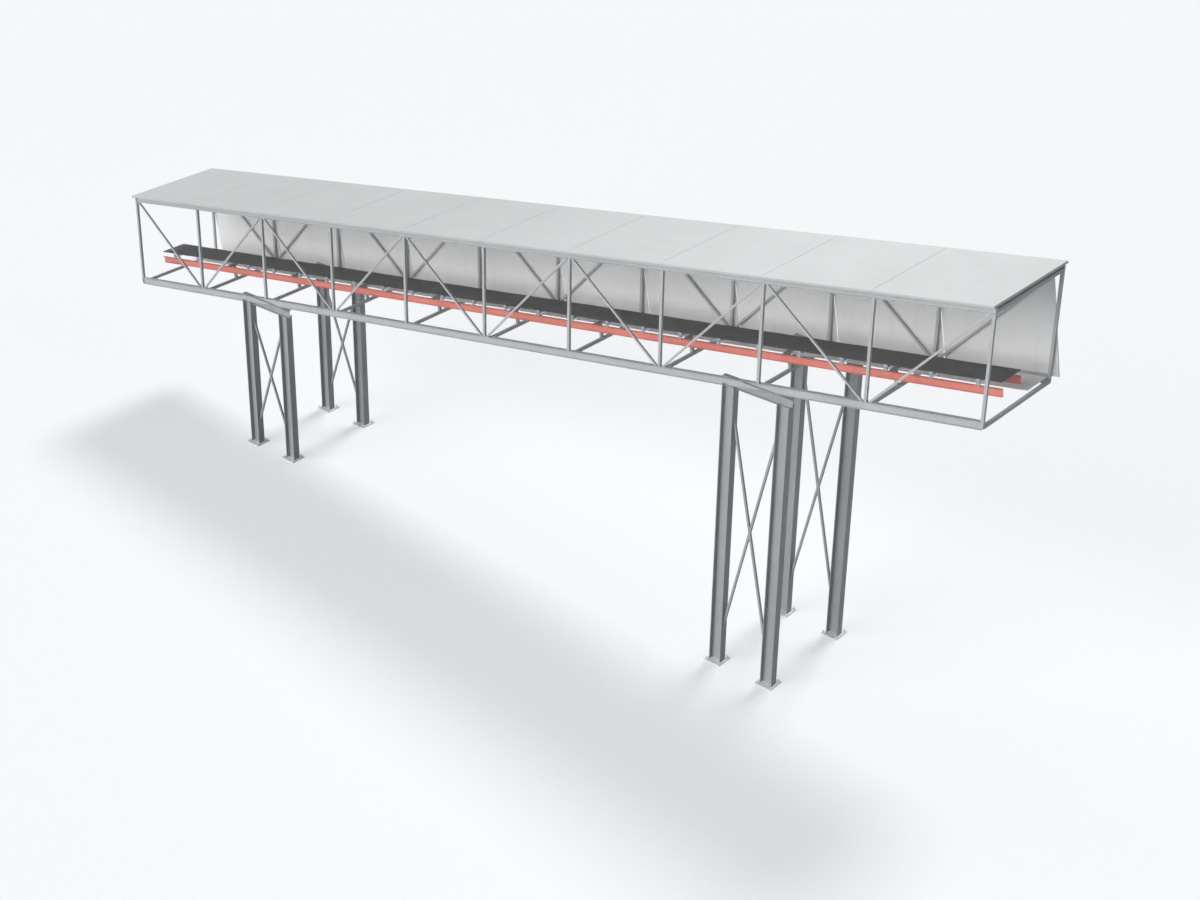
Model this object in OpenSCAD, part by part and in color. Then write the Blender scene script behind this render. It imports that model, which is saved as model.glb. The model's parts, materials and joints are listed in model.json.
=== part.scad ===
// Inclined conveyor gallery: a pair of trusses carrying a belt conveyor and a walkway,
// clad on the roof and one side, standing on two braced trestles.
// X runs uphill along the gallery, Y across it, Z up. Ground is Z = 0.

/* [Gallery] */
// Length of one bay measured along the slope
bay = 3000; // [2500:10:3600]
// Rise of the gallery in degrees
slope = 10; // [6:0.5:12]
// Distance between the two truss planes
truss_gap = 3000; // [2500:10:3600]
// Vertical distance between chord centre lines
truss_height = 2770; // [2300:10:3400]
// Height of the bottom chord centre line above ground at the low end
start_height = 4000; // [3330:10:4800]

/* [Chords] */
// Depth of the bottom chord section
bottom_depth = 200; // [160:5:250]
// Flange width of the bottom chord section
bottom_width = 120; // [90:5:150]
// Depth of the top chord section
top_depth = 160; // [120:5:200]
// Flange width of the top chord section
top_width = 100; // [80:5:130]
// Web thickness of the chords
chord_web = 10; // [8:1:14]
// Flange thickness of the chords
chord_flange = 12; // [10:1:16]

/* [Truss bars] */
// Side of the square posts
post = 75; // [60:5:95]
// Side of the square diagonals
diagonal = 55; // [40:5:70]
// Width of the floor and roof cross beams
beam_width = 80; // [60:5:100]
// Depth of the floor and roof cross beams
beam_depth = 80; // [60:5:100]

/* [Cladding] */
// Roof panel thickness
roof_thickness = 60; // [40:5:80]
// Roof overhang beyond each truss plane
roof_side = 135; // [105:5:165]
// Roof overhang at each end, along the slope
roof_end = 60; // [40:5:90]
// Gap between neighbouring roof panels
roof_seam = 12; // [8:1:20]
// Wall panel thickness
wall_thickness = 40; // [30:5:50]
// Gap between neighbouring wall panels
wall_seam = 45; // [30:1:60]
// Distance of the wall panel ends inside the chord centre lines
wall_inset = 55; // [40:5:70]

/* [Conveyor] */
// Width of the belt
belt_width = 860; // [720:10:1030]
// Thickness of the belt
belt_thickness = 14; // [10:1:20]
// Height of the belt surface above the bottom chord centre line
belt_height = 678; // [640:2:760]
// Distance of the belt centre line from the open truss plane
belt_centre = 1345; // [1200:5:1450]
// Diameter of the idler rollers
roller = 145; // [120:1:146]
// Distance between neighbouring rollers along the slope
roller_pitch = 1200; // [1000:10:1440]
// Depth of the red side members
stringer_depth = 190; // [155:1:230]
// Flange width of the red side members
stringer_width = 65; // [50:1:80]
// Plate thickness of the red side members
stringer_wall = 8; // [6:1:12]
// Distance over the outer faces of both side members
stringer_span = 915; // [880:5:1000]
// Height of the side member tops above the bottom chord centre line
stringer_top = 515; // [480:1:540]

/* [Walkway] */
// Width of the walkway plate
walkway_width = 920; // [760:10:960]
// Gap between the walkway plate and the chord or cap beam beside it, whichever is wider
walkway_gap = 5; // [2:1:20]
// Thickness of the walkway plate
walkway_thickness = 10; // [8:1:15]
// Height of the walkway surface above the bottom chord centre line
walkway_height = 85; // [60:1:100]

/* [Trestles] */
// Distance between the two columns on one side of a trestle
leg_gap = 1600; // [1400:10:1900]
// Depth of the column section, along the gallery
column_depth = 350; // [290:5:420]
// Flange width of the column section
column_width = 225; // [190:5:270]
// Web thickness of the column section
column_web = 12; // [10:1:16]
// Flange thickness of the column section
column_flange = 20; // [14:1:24]
// Height that the column flanges run up beside the cap beam
column_lap = 65; // [40:1:80]
// Length of the cap beams over the columns
cap_length = 2020; // [1960:10:2450]
// Depth of the cap beams
cap_depth = 250; // [210:5:300]
// Flange width of the cap beams
cap_width = 140; // [130:2:146]
// Distance of the cap beam top below the chord centre line at the trestle
cap_drop = 0; // [0:1:30]
// Side of the square brace bars
brace = 60; // [45:5:72]
// Height of the lower brace points above ground
brace_low = 390; // [330:10:460]
// Distance of the upper brace points below the cap beams
brace_high = 80; // [60:5:110]

/* [Base plates] */
// Side of the square base plates
plate = 500; // [450:10:600]
// Thickness of the base plates
plate_thickness = 30; // [20:1:40]
// Diameter of the anchor bolt holes
anchor_hole = 30; // [22:1:36]
// Spacing of the anchor bolt holes both ways
anchor_gap = 400; // [370:5:430]

/* [Hidden] */
bays = 10;
run = bay * cos(slope);
rise = bay * sin(slope);
mid_x = bays * run / 2;
half_gap = truss_gap / 2;
level = truss_height * cos(slope);
chord_length = bays * bay;
half_length = chord_length / 2;
low_node = 2;
high_node = 8;
overlap = 1;
floor_beam_z = -bottom_depth / 2 + chord_flange + beam_depth / 2;
floor_top = floor_beam_z + beam_depth / 2;
roof_beam_z = -top_depth / 2 + chord_flange + beam_depth / 2;
belt_y = belt_centre - half_gap;
rollers = floor(chord_length / roller_pitch);
roller_z = belt_height - belt_thickness - roller / 2;
bracket_width = 60;
bracket_thickness = 8;
bracket_lap = 30;
pedestal_width = 80;
tie_depth = 60;
bearer_width = 50;
bearer_inset = 200;
bearer_setback = 300;
wall_face = half_gap + bottom_width / 2;
walkway_edge = half_gap - max(bottom_width, cap_width) / 2 - walkway_gap;
plate_steel = [0.58, 0.6, 0.61];
steel = [0.62, 0.64, 0.65];
pale = [0.85, 0.86, 0.86];
red = [0.86, 0.5, 0.46];

function node_x(i) = i * run - mid_x;
function node_z(i) = start_height + i * rise;

// place children in the sloping frame, origin on the bottom chord centre line at mid-length
module tilted() {
    translate([0, 0, start_height + bays * rise / 2]) rotate([0, -slope, 0]) children();
}
// the same for the top chord
module tilted_top() {
    translate([0, 0, truss_height]) tilted() children();
}
module box(size, at) {
    translate(at - size / 2) cube(size);
}
// I section along X, centred
module i_beam(length, depth, width, web, flange) {
    union() {
        box([length, web, depth], [0, 0, 0]);
        box([length, width, flange], [0, 0, depth / 2 - flange / 2]);
        box([length, width, flange], [0, 0, flange / 2 - depth / 2]);
    }
}
// square bar from point to point in the XZ plane
module bar(a, b, side) {
    d = b - a;
    len = sqrt(d[0] * d[0] + d[2] * d[2]);
    translate(a) rotate([0, -atan2(d[2], d[0]), 0]) box([len, side, side], [len / 2, 0, 0]);
}
// the outer shape of one truss's chords, without their hollows
module chord_envelopes() {
    tilted() box([chord_length, bottom_width, bottom_depth], [0, 0, 0]);
    tilted_top() box([chord_length, top_width, top_depth], [0, 0, 0]);
}
module bottom_chord(side) {
    color(steel) translate([0, side * half_gap, 0]) tilted()
        i_beam(chord_length, bottom_depth, bottom_width, chord_web, chord_flange);
}
module top_chord(side) {
    color(steel) translate([0, side * half_gap, 0]) tilted_top()
        i_beam(chord_length, top_depth, top_width, chord_web, chord_flange);
}
// upright bars at the given nodes; at the ends they run past the chord ends
module post_bars(nodes) {
    foot = bottom_depth / 2 - chord_flange - post * sin(slope);
    head = top_depth / 2 - post * sin(slope);
    for (i = nodes)
        box([post, post, foot + truss_height + head],
            [node_x(i), 0, node_z(i) + (truss_height + head - foot) / 2]);
}
module posts(side) {
    color(steel) translate([0, side * half_gap, 0]) difference() {
        post_bars([0:bays]);
        chord_envelopes();
    }
}
module diagonals(side) {
    color(steel) translate([0, side * half_gap, 0]) difference() {
        for (i = [0:bays - 1]) {
            top = i % 2 == 0 ? i : i + 1;
            low = i % 2 == 0 ? i + 1 : i;
            bar([node_x(low), 0, node_z(low)], [node_x(top), 0, node_z(top) + truss_height], diagonal);
        }
        chord_envelopes();
        post_bars([0:bays]);
    }
}
module cross_beams(z) {
    for (i = [0:bays])
        box([beam_width, truss_gap - chord_web, beam_depth], [i * bay - half_length, 0, z]);
}
// what the cross beams are cut around at the ends of the gallery
module end_posts() {
    for (side = [-1, 1])
        translate([0, side * half_gap, 0]) post_bars([0, bays]);
}
module floor_beams() {
    color(steel) difference() {
        tilted() cross_beams(floor_beam_z);
        end_posts();
        cap_envelopes(low_node);
        cap_envelopes(high_node);
    }
}
module roof_beams() {
    color(steel) difference() {
        tilted_top() cross_beams(roof_beam_z);
        end_posts();
    }
}
module roof_panel(i) {
    first = i == 0 ? roof_end : -roof_seam / 2;
    last = i == bays - 1 ? roof_end : -roof_seam / 2;
    length = bay + first + last;
    middle = (i + 0.5) * bay - half_length + (last - first) / 2;
    z = top_depth / 2 + roof_thickness / 2;
    color(pale) tilted_top()
        box([length, truss_gap + 2 * roof_side, roof_thickness], [middle, 0, z]);
}
module wall_panel(i) {
    middle = (i + 0.5) * bay - half_length + sin(slope) * truss_height / 2;
    color(pale) difference() {
        tilted()
            box([bay - wall_seam, wall_thickness, level - 2 * wall_inset],
                [middle, wall_face + wall_thickness / 2, level / 2]);
        cap_envelopes(low_node);
        cap_envelopes(high_node);
    }
}
module walkway_plate() {
    color(pale) tilted()
        box([chord_length, walkway_width, walkway_thickness],
            [0, walkway_edge - walkway_width / 2, walkway_height - walkway_thickness / 2]);
}
module walkway_bearers() {
    height = walkway_height - walkway_thickness - floor_top;
    color(steel) tilted()
        for (inset = [bearer_inset, walkway_width - bearer_inset])
            box([chord_length - 2 * bearer_setback, bearer_width, height],
                [0, walkway_edge - inset, floor_top + height / 2]);
}
// channel with its toes outwards
module stringer(side) {
    middle = stringer_top - stringer_depth / 2;
    web_y = stringer_span / 2 - stringer_width + stringer_wall / 2;
    flange_y = (stringer_span - stringer_width) / 2;
    flange_z = (stringer_depth - stringer_wall) / 2;
    color(red) tilted() translate([0, belt_y, 0]) union() {
        box([chord_length, stringer_wall, stringer_depth], [0, side * web_y, middle]);
        for (s = [-1, 1])
            box([chord_length, stringer_width, stringer_wall], [0, side * flange_y, middle + s * flange_z]);
    }
}
// ties between the side members' webs, each on a leg that stands on the floor beam below it
module conveyor_pedestals() {
    middle = stringer_top - stringer_depth / 2;
    leg = middle - tie_depth / 2 - floor_top;
    color(steel) tilted() translate([0, belt_y, 0])
        for (i = [1:bays - 1]) {
            x = i * bay - half_length;
            union() {
                box([beam_width, stringer_span - 2 * stringer_width, tie_depth], [x, 0, middle]);
                box([beam_width, pedestal_width, leg + overlap], [x, 0, floor_top + (leg + overlap) / 2]);
            }
        }
}
function roller_x(k) = (k - (rollers - 1) / 2) * roller_pitch;
module idler_rollers() {
    length = belt_width - 2 * bracket_thickness;
    color([0.6, 0.65, 0.7]) tilted()
        for (k = [0:rollers - 1])
            translate([roller_x(k), belt_y, roller_z]) rotate([90, 0, 0])
                cylinder(h = length, d = roller, center = true);
}
module idler_brackets() {
    height = roller_z + bracket_lap - stringer_top;
    color(plate_steel) tilted()
        for (k = [0:rollers - 1], side = [-1, 1])
            box([bracket_width, bracket_thickness, height],
                [roller_x(k), belt_y + side * (belt_width / 2 - bracket_thickness / 2), stringer_top + height / 2]);
}
module belt() {
    color([0.2, 0.2, 0.2]) tilted()
        box([chord_length, belt_width, belt_thickness], [0, belt_y, belt_height - belt_thickness / 2]);
}

function cap_top(n) = node_z(n) - cap_drop;
function cap_bottom(n) = cap_top(n) - cap_depth;

// column section standing up, web in the long plane of the gallery
module h_column(height) {
    union() {
        box([column_depth, column_web, height], [0, 0, 0]);
        for (s = [-1, 1])
            box([column_flange, column_width, height], [s * (column_depth - column_flange) / 2, 0, 0]);
    }
}
// the outer shape of a trestle's two cap beams
module cap_envelopes(n) {
    for (side = [-1, 1])
        box([cap_length, cap_width, cap_depth], [node_x(n), side * half_gap, cap_top(n) - cap_depth / 2]);
}
module columns(n) {
    top = cap_bottom(n) + column_lap;
    color(steel) difference() {
        for (sx = [-1, 1], sy = [-1, 1])
            translate([node_x(n) + sx * leg_gap / 2, sy * half_gap, (plate_thickness + top) / 2])
                h_column(top - plate_thickness);
        cap_envelopes(n);
        for (side = [-1, 1])
            translate([0, side * half_gap, 0]) chord_envelopes();
    }
}
module cap_beams(n) {
    color(steel) difference() {
        for (side = [-1, 1])
            translate([node_x(n), side * half_gap, cap_top(n) - cap_depth / 2])
                i_beam(cap_length, cap_depth, cap_width, chord_web, chord_flange);
        for (side = [-1, 1])
            translate([0, side * half_gap, 0]) tilted()
                i_beam(chord_length, bottom_depth, bottom_width, chord_web, chord_flange);
    }
}
module braces(n) {
    high = cap_bottom(n) - brace_high;
    left = node_x(n) - leg_gap / 2;
    right = node_x(n) + leg_gap / 2;
    color(steel)
        for (side = [-1, 1])
            translate([0, side * half_gap, 0]) intersection() {
                union() {
                    bar([left, 0, brace_low], [right, 0, high], brace);
                    bar([right, 0, brace_low], [left, 0, high], brace);
                }
                box([leg_gap - column_depth, column_width, high * 2], [node_x(n), 0, high]);
            }
}
module base_plates(n) {
    color(plate_steel) difference() {
        for (sx = [-1, 1], sy = [-1, 1])
            box([plate, plate, plate_thickness],
                [node_x(n) + sx * leg_gap / 2, sy * half_gap, plate_thickness / 2]);
        for (sx = [-1, 1], sy = [-1, 1], hx = [-1, 1], hy = [-1, 1])
            translate([node_x(n) + sx * leg_gap / 2 + hx * anchor_gap / 2,
                    sy * half_gap + hy * anchor_gap / 2, -overlap])
                cylinder(h = plate_thickness + 2 * overlap, d = anchor_hole);
    }
}

bottom_chord(-1);  // bottom_chord_front
bottom_chord(1);  // bottom_chord_back
top_chord(-1);  // top_chord_front
top_chord(1);  // top_chord_back
posts(-1);  // posts_front
posts(1);  // posts_back
diagonals(-1);  // diagonals_front
diagonals(1);  // diagonals_back
floor_beams();
roof_beams();
roof_panel(0);  // roof_panel_01
roof_panel(1);  // roof_panel_02
roof_panel(2);  // roof_panel_03
roof_panel(3);  // roof_panel_04
roof_panel(4);  // roof_panel_05
roof_panel(5);  // roof_panel_06
roof_panel(6);  // roof_panel_07
roof_panel(7);  // roof_panel_08
roof_panel(8);  // roof_panel_09
roof_panel(9);  // roof_panel_10
wall_panel(0);  // wall_panel_01
wall_panel(1);  // wall_panel_02
wall_panel(2);  // wall_panel_03
wall_panel(3);  // wall_panel_04
wall_panel(4);  // wall_panel_05
wall_panel(5);  // wall_panel_06
wall_panel(6);  // wall_panel_07
wall_panel(7);  // wall_panel_08
wall_panel(8);  // wall_panel_09
wall_panel(9);  // wall_panel_10
walkway_plate();
walkway_bearers();
stringer(-1);  // stringer_front
stringer(1);  // stringer_back
conveyor_pedestals();
idler_brackets();
idler_rollers();
belt();
columns(low_node);  // low_columns
cap_beams(low_node);  // low_cap_beams
braces(low_node);  // low_braces
base_plates(low_node);  // low_base_plates
columns(high_node);  // high_columns
cap_beams(high_node);  // high_cap_beams
braces(high_node);  // high_braces
base_plates(high_node);  // high_base_plates
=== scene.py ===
"""Looks of the inclined conveyor gallery: materials, fixings, idlers, belt, stage, lights and camera.
Lengths are in metres. X runs uphill along the gallery, Y towards its clad side, Z up."""

import json
import math

import bmesh
import bpy
from mathutils import Matrix, Vector


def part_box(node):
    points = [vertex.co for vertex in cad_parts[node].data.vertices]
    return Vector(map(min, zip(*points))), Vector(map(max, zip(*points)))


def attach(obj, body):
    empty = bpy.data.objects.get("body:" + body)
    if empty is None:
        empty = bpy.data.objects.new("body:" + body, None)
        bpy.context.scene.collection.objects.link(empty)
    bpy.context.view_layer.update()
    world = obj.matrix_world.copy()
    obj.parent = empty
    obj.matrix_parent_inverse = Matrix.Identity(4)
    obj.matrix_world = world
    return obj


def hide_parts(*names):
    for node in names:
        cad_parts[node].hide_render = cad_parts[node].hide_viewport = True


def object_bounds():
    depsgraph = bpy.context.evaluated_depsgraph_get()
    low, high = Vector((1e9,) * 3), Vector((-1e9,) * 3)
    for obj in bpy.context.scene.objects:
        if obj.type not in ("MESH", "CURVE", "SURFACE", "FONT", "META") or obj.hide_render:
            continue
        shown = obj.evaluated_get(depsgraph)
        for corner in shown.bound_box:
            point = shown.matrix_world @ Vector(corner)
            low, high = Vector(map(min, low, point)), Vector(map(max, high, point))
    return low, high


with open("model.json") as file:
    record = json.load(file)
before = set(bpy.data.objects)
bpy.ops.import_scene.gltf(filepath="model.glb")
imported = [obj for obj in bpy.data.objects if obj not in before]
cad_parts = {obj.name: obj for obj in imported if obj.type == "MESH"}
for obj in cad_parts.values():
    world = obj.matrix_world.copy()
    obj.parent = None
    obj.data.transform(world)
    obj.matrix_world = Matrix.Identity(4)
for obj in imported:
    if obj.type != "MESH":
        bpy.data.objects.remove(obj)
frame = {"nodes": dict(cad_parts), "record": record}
cad_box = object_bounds()
nodes = frame["nodes"]

# ---------------------------------------------------------------- colours, in linear light

TRUSS_GREY = (0.530, 0.552, 0.562)
TRESTLE_GREY = (0.400, 0.424, 0.437)
PLATE_GREY = (0.950, 0.955, 0.955)
ROOF_GREY = (0.600, 0.607, 0.611)
WALL_GREY = (0.880, 0.890, 0.892)
WALKWAY_GREY = (0.920, 0.928, 0.930)
RED = (0.780, 0.285, 0.235)
RUBBER = (0.140, 0.140, 0.141)
ROLLER_BLUE = (0.440, 0.510, 0.590)
BRACKET_GREY = (0.480, 0.510, 0.530)
ZINC = (0.560, 0.570, 0.580)
SEALANT = (0.470, 0.480, 0.490)
BACKGROUND = (0.913, 0.930, 0.947)
DRY_DUST = (0.62, 0.61, 0.59)
WORN_EDGE = (0.66, 0.67, 0.68)

# ---------------------------------------------------------------- sizes

MERGE_DISTANCE = 1e-5  # corners nearer than this are one
EDGE = 0.003  # rounding of steel edges
SOFT_EDGE = 0.006  # reach of wear along painted edges
BELT_EDGE = 0.008  # reach of wear along the belt's edges
ORANGE_PEEL = 0.00012
WELD_LEG = 0.009
COLUMN_WELD_LEG = 0.0117
SCREW_STEP = 0.3
SCREW_INSET = 0.07  # from the sides of a panel
SCREW_WASHER = [(0.0115, 0), (0.0105, 0.0018), (0.006, 0.003), (0, 0.003)]  # (radius, height) points
SCREW_HEAD = [(0.0062, 0.0025), (0.0062, 0.0075), (0.0048, 0.009), (0, 0.009)]
SEAL_DROP = 0.004  # crown of a roof seal below the panels' faces
BELT_SAG = 0.006  # between two rollers
BELT_STEPS = 10
ANCHOR_LENGTH = 0.075  # of a foundation bolt above the base plate
ANCHOR_PLAY = 0.006  # hole less bolt
STRINGER_WALL = 0.008  # web of a side member, as in the CAD
TIE_DEPTH = 0.06  # of a pedestal's tie, as in the CAD
TIE_BOLT = 0.014
TIE_BOLT_HEAD = 0.009
TIE_BOLT_GAP = 0.044
FOOT_THICKNESS = 0.008
FOOT_WIDTH = 0.024
FOOT_BOLT = 0.0102
FOOT_BOLT_HEAD = 0.007
FOOT_BOLT_SETBACK = 0.0125  # from the cheek
CHEEK_STEP = 0.02  # height of the wide part of an idler's cheek
CHEEK_EDGE = 0.001
SPINDLE = 0.011
SPINDLE_CHAMFER = 0.002
RIM = 0.006  # rounding of a roller's rim
RIM_WALL = 0.012
CAP_TAPER = 0.001
CAP_SETBACK = 0.012
BEARING_SETBACK = 0.002
BEARING_DEPTH = 0.006

# ---------------------------------------------------------------- stage, lights and camera, angles in degrees

FLOOR_DIFFUSE = 0.55
FLOOR_GLOW = 0.53
FLOOR_SIZE = 600.0
FLOOR_DROP = 0.002
SKY_TINT = (0.96, 0.98, 1.0)
SKY_LIGHT = 0.09
KEY_TOWARDS = (-0.05, 0.62, 1.0)
KEY_STRENGTH = 1.85
KEY_SPREAD = 16
FILL_TOWARDS = (-0.32, -0.9, 0.34)
FILL_STRENGTH = 2.5
FILL_SPREAD = 55
PANEL_POWER = 500
PANEL_SIZE = 10
PANEL_HEIGHT = 11
PANEL_Y = 2.0
PANEL_ALONG = 0.6  # share of the way from the middle to the upper end
CAMERA_PLACE = (32.700, -36.886, 29.713)
CAMERA_TURN = 41.844
CAMERA_DOWN = 25.457
CAMERA_ROLL = -0.156
FOCAL_LENGTH = 59.649
SHIFT = (0.0727, -0.0973)
VIEW_END = 1000


# ---------------------------------------------------------------- frames and solids

def gallery_frame():
    """The sloping frame of the gallery: origin at the middle of the belt, X up the slope."""
    widest = max(nodes["belt"].data.polygons, key=lambda face: face.area)
    normal = widest.normal if widest.normal.z > 0 else -widest.normal
    lo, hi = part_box("belt")
    slope = math.atan2(-normal.x, normal.z)
    return Matrix.Translation((lo + hi) / 2) @ Matrix.Rotation(-slope, 4, "Y"), slope


GALLERY, SLOPE = gallery_frame()
LEVEL = Matrix.Identity(4)


def solids(node, place=LEVEL):
    """Lowest and highest corner of each separate solid of a CAD node, in the frame `place`."""
    mesh = bmesh.new()
    mesh.from_mesh(nodes[node].data)
    bmesh.ops.remove_doubles(mesh, verts=mesh.verts, dist=MERGE_DISTANCE)
    inverse = place.inverted()
    waiting = set(mesh.verts)
    boxes = []
    while waiting:
        stack = [waiting.pop()]
        points = []
        while stack:
            vert = stack.pop()
            points.append(inverse @ vert.co)
            for edge in vert.link_edges:
                other = edge.other_vert(vert)
                if other in waiting:
                    waiting.remove(other)
                    stack.append(other)
        lo = Vector([min(p[k] for p in points) for k in range(3)])
        hi = Vector([max(p[k] for p in points) for k in range(3)])
        boxes.append((lo, hi))
    mesh.free()
    return sorted(boxes, key=lambda b: [round(c, 4) for c in b[0]])


def whole(node, place=LEVEL):
    """One box round all of a CAD node, in the frame `place`."""
    boxes = solids(node, place)
    lo = Vector([min(b[0][k] for b in boxes) for k in range(3)])
    hi = Vector([max(b[1][k] for b in boxes) for k in range(3)])
    return lo, hi


# ---------------------------------------------------------------- material graphs

class Graph:
    """A material with a Principled shader, and short ways to add nodes to it."""

    def __init__(self, name):
        self.material = bpy.data.materials.new(name)
        self.material.use_nodes = True
        self.tree = self.material.node_tree
        self.shader = self.tree.nodes["Principled BSDF"]
        self.place = self.add("ShaderNodeTexCoord").outputs["Object"]

    def add(self, kind, inputs=(), **settings):
        node = self.tree.nodes.new(kind)
        for key, value in settings.items():
            setattr(node, key, value)
        for key, value in dict(inputs).items():
            if isinstance(value, bpy.types.NodeSocket):
                self.tree.links.new(value, node.inputs[key])
            else:
                node.inputs[key].default_value = value
        return node

    def stretched(self, scale, turn=0.0):
        """Object coordinates turned by an angle about Y, then scaled."""
        inputs = {"Vector": self.place, "Rotation": (0, turn, 0), "Scale": scale}
        return self.add("ShaderNodeMapping", inputs).outputs["Vector"]

    def noise(self, scale, detail=4, rough=0.55, stretch=(1, 1, 1), turn=0.0):
        vector = self.stretched(stretch, turn)
        inputs = {"Vector": vector, "Scale": scale, "Detail": detail, "Roughness": rough}
        return self.add("ShaderNodeTexNoise", inputs).outputs["Fac"]

    def remap(self, value, lo, hi, to_lo=0.0, to_hi=1.0):
        inputs = {"Value": value, "From Min": lo, "From Max": hi, "To Min": to_lo, "To Max": to_hi}
        return self.add("ShaderNodeMapRange", inputs).outputs["Result"]

    def maths(self, operation, a, b):
        return self.add("ShaderNodeMath", {0: a, 1: b}, operation=operation).outputs[0]

    def mix(self, factor, a, b):
        node = self.add("ShaderNodeMix", data_type="RGBA")
        for key, value in (("Factor_Float", factor), ("A_Color", a), ("B_Color", b)):
            socket = next(s for s in node.inputs if s.identifier == key)
            if isinstance(value, bpy.types.NodeSocket):
                self.tree.links.new(value, socket)
            else:
                socket.default_value = value
        return next(s for s in node.outputs if s.identifier == "Result_Color")

    def edges(self, radius):
        """1 along outer edges and 0 on flat faces."""
        soft = self.add("ShaderNodeBevel", {"Radius": radius}, samples=4).outputs["Normal"]
        true = self.add("ShaderNodeNewGeometry").outputs["Normal"]
        dot = self.add("ShaderNodeVectorMath", {0: soft, 1: true}, operation="DOT_PRODUCT").outputs["Value"]
        return self.remap(dot, 0.995, 0.85)

    def upward(self):
        """1 on faces that look up and 0 on sides and undersides."""
        normal = self.add("ShaderNodeNewGeometry").outputs["Normal"]
        z = self.add("ShaderNodeSeparateXYZ", {0: normal}).outputs["Z"]
        return self.remap(z, 0.6, 0.95)

    def bump(self, height, strength, distance, below=None):
        inputs = {"Height": height, "Strength": strength, "Distance": distance}
        if below is not None:
            inputs["Normal"] = below
        return self.add("ShaderNodeBump", inputs).outputs["Normal"]

    def finish(self, colour, roughness, normal):
        for key, value in (("Base Color", colour), ("Roughness", roughness), ("Normal", normal)):
            self.tree.links.new(value, self.shader.inputs[key])
        return self.material


def rgba(colour, gain=1.0):
    return tuple(min(1.0, c * gain) for c in colour) + (1.0,)


def coated(name, colour, rough=0.5, spread=0.06, streak=0.06, wear=0.25, dust=0.3, stretch=(5.0, 5.0, 0.35)):
    """Paint or coating on steel: soft blotches, rain streaks, dust on top, worn edges and orange peel."""
    graph = Graph(name)
    graph.shader.inputs["Specular IOR Level"].default_value = 0.28
    blotch = graph.noise(0.55, 4, 0.6)
    tone = graph.mix(graph.remap(blotch, 0.3, 0.7), rgba(colour, 1 - spread), rgba(colour, 1 + spread))
    speckle = graph.noise(38.0, 3, 0.7)
    tone = graph.mix(graph.remap(speckle, 0.58, 0.8, 0.0, 0.22), tone, rgba(colour, 0.8))
    run = graph.noise(1.6, 5, 0.62, stretch, -SLOPE)
    tone = graph.mix(graph.remap(run, 0.5, 0.78, 0.0, streak * 6), tone, rgba(colour, 0.78))
    level = graph.upward()
    settled = graph.maths("MULTIPLY", level, graph.remap(graph.noise(3.2, 5, 0.65), 0.42, 0.7, 0.0, dust))
    tone = graph.mix(settled, tone, rgba(DRY_DUST))
    rubbed = graph.edges(SOFT_EDGE)
    chipped = graph.maths("MULTIPLY", rubbed, graph.remap(graph.noise(22.0, 5, 0.7), 0.4, 0.62, 0.0, wear))
    tone = graph.mix(chipped, tone, rgba(WORN_EDGE))
    gloss = graph.remap(graph.noise(7.0, 4, 0.6), 0.3, 0.7, rough - 0.07, rough + 0.09)
    peel = graph.bump(graph.noise(170.0, 2, 0.5), 0.35, ORANGE_PEEL)
    dent = graph.bump(graph.noise(1.9, 2, 0.4), 0.25, 0.004, peel)
    return graph.finish(tone, gloss, dent)


def belt_rubber():
    """Matt cover rubber with long scuffs, pale dust and a faint woven grain."""
    graph = Graph("belt_rubber")
    graph.shader.inputs["Specular IOR Level"].default_value = 0.3
    scuff = graph.noise(2.2, 6, 0.65, (0.12, 7.0, 7.0), -SLOPE)
    tone = graph.mix(graph.remap(scuff, 0.35, 0.7), rgba(RUBBER, 0.86), rgba(RUBBER, 1.18))
    dust = graph.maths("MULTIPLY", graph.upward(), graph.remap(graph.noise(1.3, 6, 0.7), 0.5, 0.75, 0.0, 0.2))
    tone = graph.mix(dust, tone, rgba((0.24, 0.238, 0.233)))
    tone = graph.mix(graph.remap(graph.edges(BELT_EDGE), 0, 1, 0, 0.3), tone, rgba((0.22, 0.22, 0.22)))
    gloss = graph.remap(graph.noise(9.0, 4, 0.6), 0.3, 0.7, 0.68, 0.86)
    inputs = {"Vector": graph.stretched((1, 1, 1)), "Scale": 90.0, "Distortion": 0.6}
    weave = graph.add("ShaderNodeTexWave", inputs)
    cloth = graph.bump(weave.outputs["Fac"], 0.12, 0.0006)
    pores = graph.bump(graph.noise(240.0, 2, 0.5), 0.4, 0.0005, cloth)
    return graph.finish(tone, gloss, pores)


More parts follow.
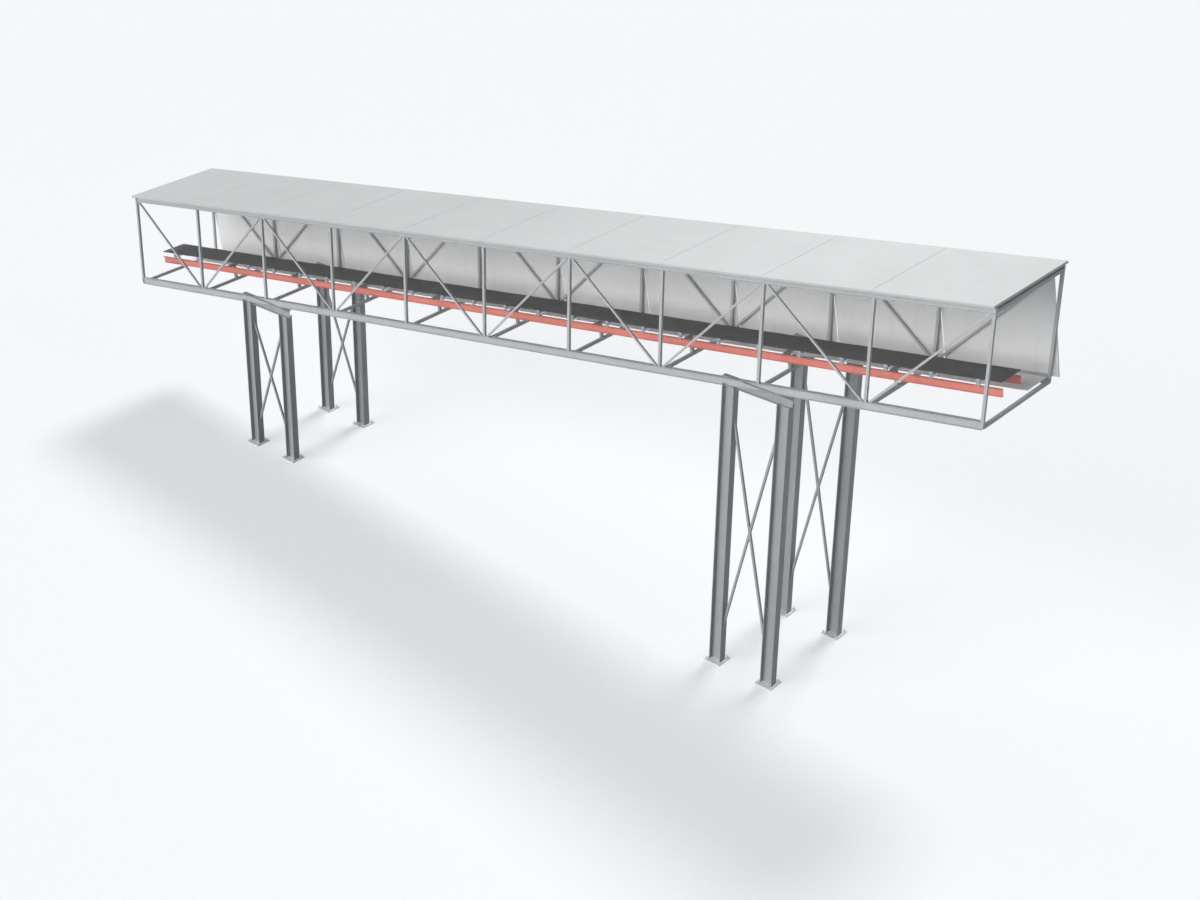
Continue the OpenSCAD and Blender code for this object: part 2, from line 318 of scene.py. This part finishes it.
def walkway_tread():
    """Pale coated tread plate: crossed raised bars and long streaks of grime along it."""
    graph = Graph("walkway_steel")
    graph.shader.inputs["Specular IOR Level"].default_value = 0.4
    blotch = graph.noise(0.8, 5, 0.6)
    tone = graph.mix(graph.remap(blotch, 0.3, 0.7), rgba(WALKWAY_GREY, 0.93), rgba(WALKWAY_GREY, 1.05))
    grime = graph.noise(5.0, 6, 0.7, (0.5, 1.6, 1.0), -SLOPE)
    tone = graph.mix(graph.remap(grime, 0.5, 0.75, 0.0, 0.18), tone, rgba((0.5, 0.5, 0.49)))
    bars = []
    for turn in (math.radians(45), math.radians(-45)):
        inputs = {"Vector": graph.place, "Rotation": (0, 0, turn), "Scale": (1.0, 3.2, 1.0)}
        turned = graph.add("ShaderNodeMapping", inputs).outputs["Vector"]
        cells = graph.add("ShaderNodeTexVoronoi", {"Vector": turned, "Scale": 13.0, "Randomness": 0.0})
        bars.append(graph.remap(cells.outputs["Distance"], 0.34, 0.22))
    raised = graph.maths("MAXIMUM", *bars)
    tone = graph.mix(graph.maths("MULTIPLY", raised, 0.2), tone, rgba((0.74, 0.75, 0.76)))
    gloss = graph.remap(graph.noise(11.0, 4, 0.6), 0.3, 0.7, 0.38, 0.55)
    return graph.finish(tone, gloss, graph.bump(raised, 0.6, 0.0015))


def bare_metal(name, colour, rough, stretch):
    """Zinc or turned steel: fine turning lines, mottled finish and a little grime in random patches."""
    graph = Graph(name)
    graph.shader.inputs["Metallic"].default_value = 0.75
    spangle = graph.add("ShaderNodeTexVoronoi", {"Vector": graph.place, "Scale": 90.0}).outputs["Distance"]
    tone = graph.mix(graph.remap(spangle, 0.0, 0.7), rgba(colour, 0.9), rgba(colour, 1.12))
    grime = graph.remap(graph.noise(14.0, 5, 0.7), 0.5, 0.75, 0.0, 0.35)
    tone = graph.mix(grime, tone, rgba((0.3, 0.29, 0.28)))
    gloss = graph.remap(graph.noise(30.0, 4, 0.6), 0.3, 0.7, rough - 0.06, rough + 0.1)
    lines = graph.bump(graph.noise(60.0, 3, 0.6, stretch), 0.3, 0.0003)
    return graph.finish(tone, gloss, lines)


MATERIALS = {
    "truss_steel": coated("truss_steel", TRUSS_GREY),
    "trestle_steel": coated("trestle_steel", TRESTLE_GREY, streak=0.08),
    "plate_steel": coated("plate_steel", PLATE_GREY, dust=0.12, wear=0.15, streak=0.03),
    "roof_sheet": coated("roof_sheet", ROOF_GREY, rough=0.55, spread=0.03, streak=0.03, dust=0.18,
                         stretch=(0.45, 3.0, 1.0), wear=0.1),
    "wall_sheet": coated("wall_sheet", WALL_GREY, rough=0.55, spread=0.03, streak=0.05, wear=0.1,
                         stretch=(3.0, 3.0, 0.3)),
    "walkway_steel": walkway_tread(),
    "red_steel": coated("red_steel", RED, rough=0.45, spread=0.05, wear=0.35, dust=0.25),
    "belt_rubber": belt_rubber(),
    "roller_steel": bare_metal("roller_steel", ROLLER_BLUE, 0.42, (6.0, 0.4, 6.0)),
    "bracket_steel": coated("bracket_steel", BRACKET_GREY, dust=0.4),
    "zinc": bare_metal("zinc", ZINC, 0.4, (1.0, 1.0, 4.0)),
    "sealant": coated("sealant", SEALANT, rough=0.7, wear=0.0, dust=0.5),
}


def dress_cad():
    """Gives each CAD node its material and fine rounded edges."""
    for part in frame["record"]["subparts"]:
        shown = nodes[part["node"]]
        mesh = shown.data
        mesh.materials.clear()
        mesh.materials.append(MATERIALS[part["material_slot"]])
        if "custom_normal" in mesh.attributes:
            mesh.attributes.remove(mesh.attributes["custom_normal"])
        mesh.shade_smooth()
        joined = shown.modifiers.new("joined", "WELD")
        joined.merge_threshold = MERGE_DISTANCE
        flat = shown.modifiers.new("flat", "DECIMATE")
        flat.decimate_type = "DISSOLVE"
        flat.angle_limit = math.radians(0.5)
        rounded = shown.modifiers.new("rounded", "BEVEL")
        rounded.width = EDGE
        rounded.segments = 2
        rounded.limit_method = "ANGLE"
        rounded.angle_limit = math.radians(40)
        rounded.harden_normals = True


# ---------------------------------------------------------------- mesh tools

def lathe(mesh, profile, place, sides=24):
    """Turns (radius, height) points about Z; a radius of 0 closes the end."""
    rings = []
    for radius, height in profile:
        count = sides if radius > 0 else 1
        ring = []
        for k in range(count):
            angle = 2 * math.pi * k / count
            spot = Vector((radius * math.cos(angle), radius * math.sin(angle), height))
            ring.append(mesh.verts.new(place @ spot))
        rings.append(ring)
    for low, high in zip(rings, rings[1:]):
        for k in range(sides):
            after = k + 1
            corners = [low[k % len(low)], low[after % len(low)], high[after % len(high)], high[k % len(high)]]
            face = list(dict.fromkeys(corners))
            if len(face) > 2:
                mesh.faces.new(face)


def prism(mesh, outline, lo, hi, place):
    """Extrudes an (x, z) outline along Y from lo to hi."""
    ends = [[mesh.verts.new(place @ Vector((x, y, z))) for x, z in outline] for y in (lo, hi)]
    mesh.faces.new(ends[0])
    mesh.faces.new(ends[1][::-1])
    count = len(outline)
    for k in range(count):
        mesh.faces.new([ends[0][k], ends[1][k], ends[1][(k + 1) % count], ends[0][(k + 1) % count]])


def skirt(mesh, outline, leg, place):
    """A hollow-faced weld round an (x, y) outline that runs anticlockwise, standing on z = 0."""
    count = len(outline)
    rows = []
    for out, up in ((leg, 0.0), (leg * 0.35, leg * 0.35), (0.0, leg)):
        row = []
        for k, (x, y) in enumerate(outline):
            before = Vector((x - outline[k - 1][0], y - outline[k - 1][1])).normalized()
            after = Vector((outline[(k + 1) % count][0] - x, outline[(k + 1) % count][1] - y)).normalized()
            corner = Vector((before.y, -before.x)) + Vector((after.y, -after.x))
            corner = corner / max(1e-6, corner.dot(Vector((after.y, -after.x))))
            row.append(mesh.verts.new(place @ Vector((x + corner.x * out, y + corner.y * out, up))))
        rows.append(row)
    for low, high in zip(rows, rows[1:]):
        for k in range(count):
            mesh.faces.new([low[k], low[(k + 1) % count], high[(k + 1) % count], high[k]])


def rectangle(half_x, half_y):
    return [(-half_x, -half_y), (half_x, -half_y), (half_x, half_y), (-half_x, half_y)]


def piece(name, mesh, material, stands_for=(), edge=0.0):
    """Makes a piece from a mesh in the row frame and ties it to the frame."""
    bmesh.ops.recalc_face_normals(mesh, faces=mesh.faces)
    data = bpy.data.meshes.new(name)
    mesh.to_mesh(data)
    mesh.free()
    data.materials.append(MATERIALS[material])
    data.shade_smooth()
    data.set_sharp_from_angle(angle=math.radians(35))
    shown = bpy.data.objects.new(name, data)
    bpy.context.scene.collection.objects.link(shown)
    if edge:
        rounded = shown.modifiers.new("rounded", "BEVEL")
        rounded.width = edge
        rounded.segments = 2
        rounded.limit_method = "ANGLE"
        rounded.angle_limit = math.radians(40)
    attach(shown, "root")
    if stands_for:
        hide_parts(*stands_for)
    return shown


def hex_bolt(mesh, place, size, height):
    """Washer and chamfered six-sided head standing on z = 0; size is the thread diameter."""
    washer = size * 1.05
    thick = size * 0.16
    lathe(mesh, [(0, thick), (washer * 0.96, thick), (washer, thick * 0.7), (washer, 0)], place, 20)
    head = size * 0.93
    top = thick + height
    lathe(mesh, [(head, thick), (head, top - height * 0.12), (head * 0.86, top), (0, top)], place, 6)


def screw(mesh, place):
    """Small roofing screw: domed washer and low hexagon head."""
    lathe(mesh, SCREW_WASHER, place, 14)
    lathe(mesh, SCREW_HEAD, place, 6)


# ---------------------------------------------------------------- trestles

def anchors(trestle):
    """Foundation bolts at the four holes of each base plate: washer, nut and threaded stud."""
    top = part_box(trestle + "_base_plates")[1].z
    mesh = bmesh.new()
    for mount in frame["record"]["mounts"]:
        if mount["kind"] != "bolt_pattern" or not mount["name"].startswith(trestle):
            continue
        dims = mount["dims"]
        size = dims["hole_r_mm"] * 2 / 1000 - ANCHOR_PLAY
        for sx in (-0.5, 0.5):
            for sy in (-0.5, 0.5):
                across = Vector((sx * dims["spacing_x_mm"], sy * dims["spacing_y_mm"], 0)) / 1000
                base = Vector(mount["pos_m"]) + across
                place = Matrix.Translation((base.x, base.y, top))
                hex_bolt(mesh, place, size, size * 0.85)
                stud(mesh, place, size / 2)
    return piece(trestle + "_anchor_bolts", mesh, "zinc")


def stud(mesh, place, radius):
    """Threaded end that stands out of the nut."""
    start = radius * 2
    pitch = radius * 0.25
    turns = int((ANCHOR_LENGTH - start) / pitch)
    profile = [(radius * 0.88, start)]
    for k in range(turns):
        profile.append((radius, start + pitch * (k + 0.5)))
        profile.append((radius * 0.88, start + pitch * (k + 1)))
    end = profile[-1][1]
    profile += [(radius * 0.7, end + pitch), (0, end + pitch)]
    lathe(mesh, profile, place, 18)


def column_welds(trestle):
    """Fillet welds round the foot of each column, following its H section."""
    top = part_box(trestle + "_base_plates")[1].z
    flange, web = section_plates(trestle + "_columns")
    mesh = bmesh.new()
    for lo, hi in solids(trestle + "_columns"):
        centre = (lo + hi) / 2
        x, y = (hi - lo).x / 2, (hi - lo).y / 2
        inner = x - flange
        outline = [(-x, -y), (-inner, -y), (-inner, -web / 2), (inner, -web / 2), (inner, -y), (x, -y),
                   (x, y), (inner, y), (inner, web / 2), (-inner, web / 2), (-inner, y), (-x, y)]
        skirt(mesh, outline, COLUMN_WELD_LEG, Matrix.Translation((centre.x, centre.y, top)))
    return piece(trestle + "_column_welds", mesh, "trestle_steel")


def section_plates(node):
    """Flange and web thickness of the first column of a node, from the corners of its lowest face."""
    lo, hi = solids(node)[0]
    low = [v.co for v in nodes[node].data.vertices if v.co.z < lo.z + 1e-3 and v.co.x < hi.x + 1e-3]
    low = [p for p in low if lo.y - 1e-3 < p.y < hi.y + 1e-3]
    middle = (lo.y + hi.y) / 2
    xs = sorted({round(p.x, 4) for p in low})
    web = 2 * min(abs(p.y - middle) for p in low)
    return xs[1] - xs[0], web


# ---------------------------------------------------------------- trusses

def truss_welds(side):
    """Welds where the posts of one truss stand on the bottom chord and meet the top chord."""
    chord_low = whole("bottom_chord_" + side, GALLERY)[1].z
    chord_high = whole("top_chord_" + side, GALLERY)[0].z
    mesh = bmesh.new()
    posts = solids("posts_" + side)
    for lo, hi in posts[1:-1]:
        half = (hi.y - lo.y) / 2
        axis = GALLERY.inverted() @ ((lo + hi) / 2)
        for level, turn in ((chord_low, 0.0), (chord_high, math.pi)):
            x = axis.x + (level - axis.z) * math.tan(SLOPE)
            place = GALLERY @ Matrix.Translation((x, axis.y, level)) @ Matrix.Rotation(turn, 4, "X")
            skirt(mesh, rectangle(half / math.cos(SLOPE), half), WELD_LEG, place)
    return piece("truss_welds_" + side, mesh, "truss_steel")


# ---------------------------------------------------------------- cladding

def roof_panels():
    return sorted(name for name in nodes if name.startswith("roof_panel_"))


def wall_panels():
    return sorted(name for name in nodes if name.startswith("wall_panel_"))


def roof_screws():
    """Rows of screws over the cross beams at both ends of each roof panel."""
    mesh = bmesh.new()
    for name in roof_panels():
        lo, hi = whole(name, GALLERY)
        count = round((hi.y - lo.y - 2 * SCREW_INSET) / SCREW_STEP)
        for x in (lo.x + SCREW_INSET, hi.x - SCREW_INSET):
            for k in range(count + 1):
                y = lo.y + SCREW_INSET + (hi.y - lo.y - 2 * SCREW_INSET) * k / count
                screw(mesh, GALLERY @ Matrix.Translation((x, y, hi.z)))
    return piece("roof_screws", mesh, "zinc")


def wall_screws():
    """Rows of screws up both ends of each wall panel, on the outside."""
    mesh = bmesh.new()
    outward = Matrix.Rotation(-math.pi / 2, 4, "X")
    for name in wall_panels():
        lo, hi = whole(name, GALLERY)
        count = round((hi.z - lo.z - 2 * SCREW_INSET) / SCREW_STEP)
        for x in (lo.x + SCREW_INSET, hi.x - SCREW_INSET):
            for k in range(count + 1):
                z = lo.z + SCREW_INSET + (hi.z - lo.z - 2 * SCREW_INSET) * k / count
                screw(mesh, GALLERY @ Matrix.Translation((x, hi.y, z)) @ outward)
    return piece("wall_screws", mesh, "zinc")


def roof_seals():
    """A rounded sealing strip in each gap between two roof panels."""
    mesh = bmesh.new()
    panels = [whole(name, GALLERY) for name in roof_panels()]
    panels.sort(key=lambda box: box[0].x)
    for (lo, hi), (next_lo, _) in zip(panels, panels[1:]):
        half = (next_lo.x - hi.x) / 2
        middle = (next_lo.x + hi.x) / 2
        crown = hi.z - SEAL_DROP - half
        round_top = [(half * math.cos(math.radians(a)), crown + half * math.sin(math.radians(a)))
                     for a in range(0, 181, 30)]
        outline = round_top + [(-half, lo.z), (half, lo.z)]
        prism(mesh, outline, lo.y, hi.y, GALLERY @ Matrix.Translation((middle, 0, 0)))
    return piece("roof_seals", mesh, "sealant")


# ---------------------------------------------------------------- conveyor

def idler_rollers():
    """Tube rollers with rounded rims, set-back end caps, bearing seals and chamfered spindles."""
    mesh = bmesh.new()
    bracket = solids("idler_brackets", GALLERY)
    outer = max(hi.y for _, hi in bracket)
    inner = max(lo.y for lo, _ in bracket)
    for lo, hi in solids("idler_rollers", GALLERY):
        centre = (lo + hi) / 2
        radius = (hi.z - lo.z) / 2
        half = (hi.y - lo.y) / 2 - RIM
        reach = half + (outer - inner) + RIM
        rim = [(radius, half - RIM), (radius - RIM * 0.3, half - RIM * 0.3), (radius - RIM, half)]
        cap = [(radius - RIM_WALL, half), (radius - RIM_WALL - CAP_TAPER, half - CAP_SETBACK),
               (radius * 0.45, half - CAP_SETBACK)]
        bearing = [(radius * 0.42, half - BEARING_SETBACK), (SPINDLE * 1.7, half - BEARING_SETBACK),
                   (SPINDLE * 1.6, half - BEARING_DEPTH)]
        axle = [(SPINDLE, half - BEARING_DEPTH), (SPINDLE, reach - SPINDLE_CHAMFER),
                (SPINDLE - SPINDLE_CHAMFER, reach), (0, reach)]
        end = rim + cap + bearing + axle
        profile = [(r, -h) for r, h in reversed(end)] + end
        place = GALLERY @ Matrix.Translation(centre) @ Matrix.Rotation(math.pi / 2, 4, "X")
        lathe(mesh, profile, place, 32)
    return piece("idler_roller_tubes", mesh, "roller_steel", ["idler_rollers"])


def idler_stands():
    """Folded plate stands: a tapered cheek with a foot on the side member, bolted down."""
    mesh = bmesh.new()
    roller_y = whole("idler_rollers", GALLERY)
    middle = (roller_y[0].y + roller_y[1].y) / 2
    for lo, hi in solids("idler_brackets", GALLERY):
        centre = (lo + hi) / 2
        side = 1 if centre.y > middle else -1
        half = (hi.x - lo.x) / 2
        wide = half * 1.9
        step = lo.z + CHEEK_STEP
        cut = half * 0.6
        outline = [(-wide, lo.z), (wide, lo.z), (wide, step), (half, hi.z - cut),
                   (cut, hi.z), (-cut, hi.z), (-half, hi.z - cut), (-wide, step)]
        prism(mesh, outline, lo.y, hi.y, GALLERY @ Matrix.Translation((centre.x, 0, 0)))
        out = hi.y if side > 0 else lo.y
        foot = sorted((out, out + side * FOOT_WIDTH))
        top = lo.z + FOOT_THICKNESS
        plate = [(-wide, lo.z), (wide, lo.z), (wide, top), (-wide, top)]
        prism(mesh, plate, foot[0], foot[1], GALLERY @ Matrix.Translation((centre.x, 0, 0)))
        for sx in (-1, 1):
            spot = (centre.x + sx * wide * 0.68, out + side * FOOT_BOLT_SETBACK, top)
            hex_bolt(mesh, GALLERY @ Matrix.Translation(spot), FOOT_BOLT, FOOT_BOLT_HEAD)
    return piece("idler_stands", mesh, "bracket_steel", ["idler_brackets"], CHEEK_EDGE)


def conveyor_belt():
    """Cover rubber that lies on the rollers and sags a little between them, with rounded edges."""
    lo, hi = whole("belt", GALLERY)
    rollers = sorted(((a + b) / 2).x for a, b in solids("idler_rollers", GALLERY))
    stations = [(lo.x, 0.0)]
    for start, stop in zip(rollers, rollers[1:]):
        for k in range(BELT_STEPS):
            share = k / BELT_STEPS
            stations.append((start + (stop - start) * share, BELT_SAG * 4 * share * (1 - share)))
    stations += [(rollers[-1], 0.0), (hi.x, 0.0)]
    radius = (hi.z - lo.z) / 2
    middle = (hi.z + lo.z) / 2
    section = []
    for side in (1, -1):
        edge = (hi.y if side > 0 else lo.y) - side * radius
        for a in range(-90, 91, 30):
            angle = math.radians(a)
            section.append((edge + side * radius * math.cos(angle), middle + side * radius * math.sin(angle)))
    mesh = bmesh.new()
    rings = [[mesh.verts.new(GALLERY @ Vector((x, y, z - drop))) for y, z in section] for x, drop in stations]
    for low, high in zip(rings, rings[1:]):
        for k in range(len(section)):
            after = (k + 1) % len(section)
            mesh.faces.new([low[k], low[after], high[after], high[k]])
    mesh.faces.new(rings[0])
    mesh.faces.new(rings[-1][::-1])
    return piece("conveyor_belt", mesh, "belt_rubber", ["belt"])


def pedestal_bolts():
    """Bolts through the webs of the side members into the end of each pedestal's tie."""
    mesh = bmesh.new()
    for lo, hi in solids("conveyor_pedestals", GALLERY):
        x = (lo.x + hi.x) / 2
        z = hi.z - TIE_DEPTH / 2
        for y, turn in ((lo.y - STRINGER_WALL, math.pi / 2), (hi.y + STRINGER_WALL, -math.pi / 2)):
            for sx in (-TIE_BOLT_GAP / 2, TIE_BOLT_GAP / 2):
                place = GALLERY @ Matrix.Translation((x + sx, y, z)) @ Matrix.Rotation(turn, 4, "X")
                hex_bolt(mesh, place, TIE_BOLT, TIE_BOLT_HEAD)
    return piece("pedestal_bolts", mesh, "zinc")


# ---------------------------------------------------------------- stage, lights, camera

def pale_rays(tree):
    """1 for rays that show the stage itself: seen directly, mirrored or through glass."""
    path = tree.nodes.new("ShaderNodeLightPath")
    total = path.outputs["Is Camera Ray"]
    for name in ("Is Glossy Ray", "Is Transmission Ray"):
        larger = tree.nodes.new("ShaderNodeMath")
        larger.operation = "MAXIMUM"
        tree.links.new(total, larger.inputs[0])
        tree.links.new(path.outputs[name], larger.inputs[1])
        total = larger.outputs[0]
    return total


def floor():
    """Wide pale floor that takes the shadow."""
    material = bpy.data.materials.new("stage_floor")
    material.use_nodes = True
    tree = material.node_tree
    tree.nodes.clear()
    out = tree.nodes.new("ShaderNodeOutputMaterial")
    add = tree.nodes.new("ShaderNodeAddShader")
    dull = tree.nodes.new("ShaderNodeBsdfDiffuse")
    dull.inputs["Color"].default_value = rgba(BACKGROUND, FLOOR_DIFFUSE)
    glow = tree.nodes.new("ShaderNodeEmission")
    glow.inputs["Color"].default_value = rgba(BACKGROUND)
    share = tree.nodes.new("ShaderNodeMath")
    share.operation = "MULTIPLY"
    share.inputs[1].default_value = FLOOR_GLOW
    tree.links.new(pale_rays(tree), share.inputs[0])
    tree.links.new(share.outputs[0], glow.inputs["Strength"])
    tree.links.new(dull.outputs[0], add.inputs[0])
    tree.links.new(glow.outputs[0], add.inputs[1])
    tree.links.new(add.outputs[0], out.inputs["Surface"])
    bpy.ops.mesh.primitive_plane_add(size=FLOOR_SIZE, location=(0, 0, -FLOOR_DROP))
    ground = bpy.context.object
    ground.name = "floor"
    ground.data.materials.append(material)


def sky():
    """Pale backdrop, with an even soft light on the object."""
    world = bpy.data.worlds.new("sky")
    bpy.context.scene.world = world
    world.use_nodes = True
    tree = world.node_tree
    tree.nodes.clear()
    out = tree.nodes.new("ShaderNodeOutputWorld")
    mix = tree.nodes.new("ShaderNodeMixShader")
    light = tree.nodes.new("ShaderNodeBackground")
    light.inputs["Color"].default_value = rgba(SKY_TINT)
    light.inputs["Strength"].default_value = SKY_LIGHT
    seen = tree.nodes.new("ShaderNodeBackground")
    seen.inputs["Color"].default_value = rgba(BACKGROUND)
    seen.inputs["Strength"].default_value = 1.0
    tree.links.new(pale_rays(tree), mix.inputs[0])
    tree.links.new(light.outputs[0], mix.inputs[1])
    tree.links.new(seen.outputs[0], mix.inputs[2])
    tree.links.new(mix.outputs[0], out.inputs["Surface"])


def sun(name, towards_light, strength, spread):
    """Distant lamp; spread is the angle, in degrees, that it fills in the sky."""
    lamp = bpy.data.lights.new(name, "SUN")
    lamp.energy = strength
    lamp.angle = math.radians(spread)
    shown = bpy.data.objects.new(name, lamp)
    shown.rotation_mode = "QUATERNION"
    shown.rotation_quaternion = Vector(towards_light).to_track_quat("Z", "Y")
    bpy.context.scene.collection.objects.link(shown)


def overhead():
    """Broad soft panel high over the upper half of the gallery."""
    top = cad_box[1]
    lamp = bpy.data.lights.new("overhead", "AREA")
    lamp.shape = "SQUARE"
    lamp.size = PANEL_SIZE
    lamp.energy = PANEL_POWER
    shown = bpy.data.objects.new("overhead", lamp)
    shown.location = (top.x * PANEL_ALONG, PANEL_Y, top.z + PANEL_HEIGHT)
    bpy.context.scene.collection.objects.link(shown)


def camera():
    """Looks down the slope from in front of the upper end; angles are in degrees."""
    lens = bpy.data.cameras.new("camera")
    lens.lens = FOCAL_LENGTH
    lens.shift_x, lens.shift_y = SHIFT
    lens.clip_end = VIEW_END
    shown = bpy.data.objects.new("camera", lens)
    turn = Matrix.Rotation(math.radians(CAMERA_TURN), 4, "Z")
    tip = Matrix.Rotation(math.radians(90 - CAMERA_DOWN), 4, "X")
    roll = Matrix.Rotation(math.radians(CAMERA_ROLL), 4, "Z")
    shown.matrix_world = Matrix.Translation(CAMERA_PLACE) @ turn @ tip @ roll
    bpy.context.scene.collection.objects.link(shown)
    bpy.context.scene.camera = shown


dress_cad()
for trestle in ("low", "high"):
    anchors(trestle)
    column_welds(trestle)
for side in ("front", "back"):
    truss_welds(side)
roof_screws()
wall_screws()
roof_seals()
idler_stands()
idler_rollers()
conveyor_belt()
pedestal_bolts()
floor()
sky()
sun("key", KEY_TOWARDS, KEY_STRENGTH, KEY_SPREAD)
overhead()
sun("fill", FILL_TOWARDS, FILL_STRENGTH, FILL_SPREAD)
camera()
bpy.context.scene.view_settings.view_transform = "Standard"
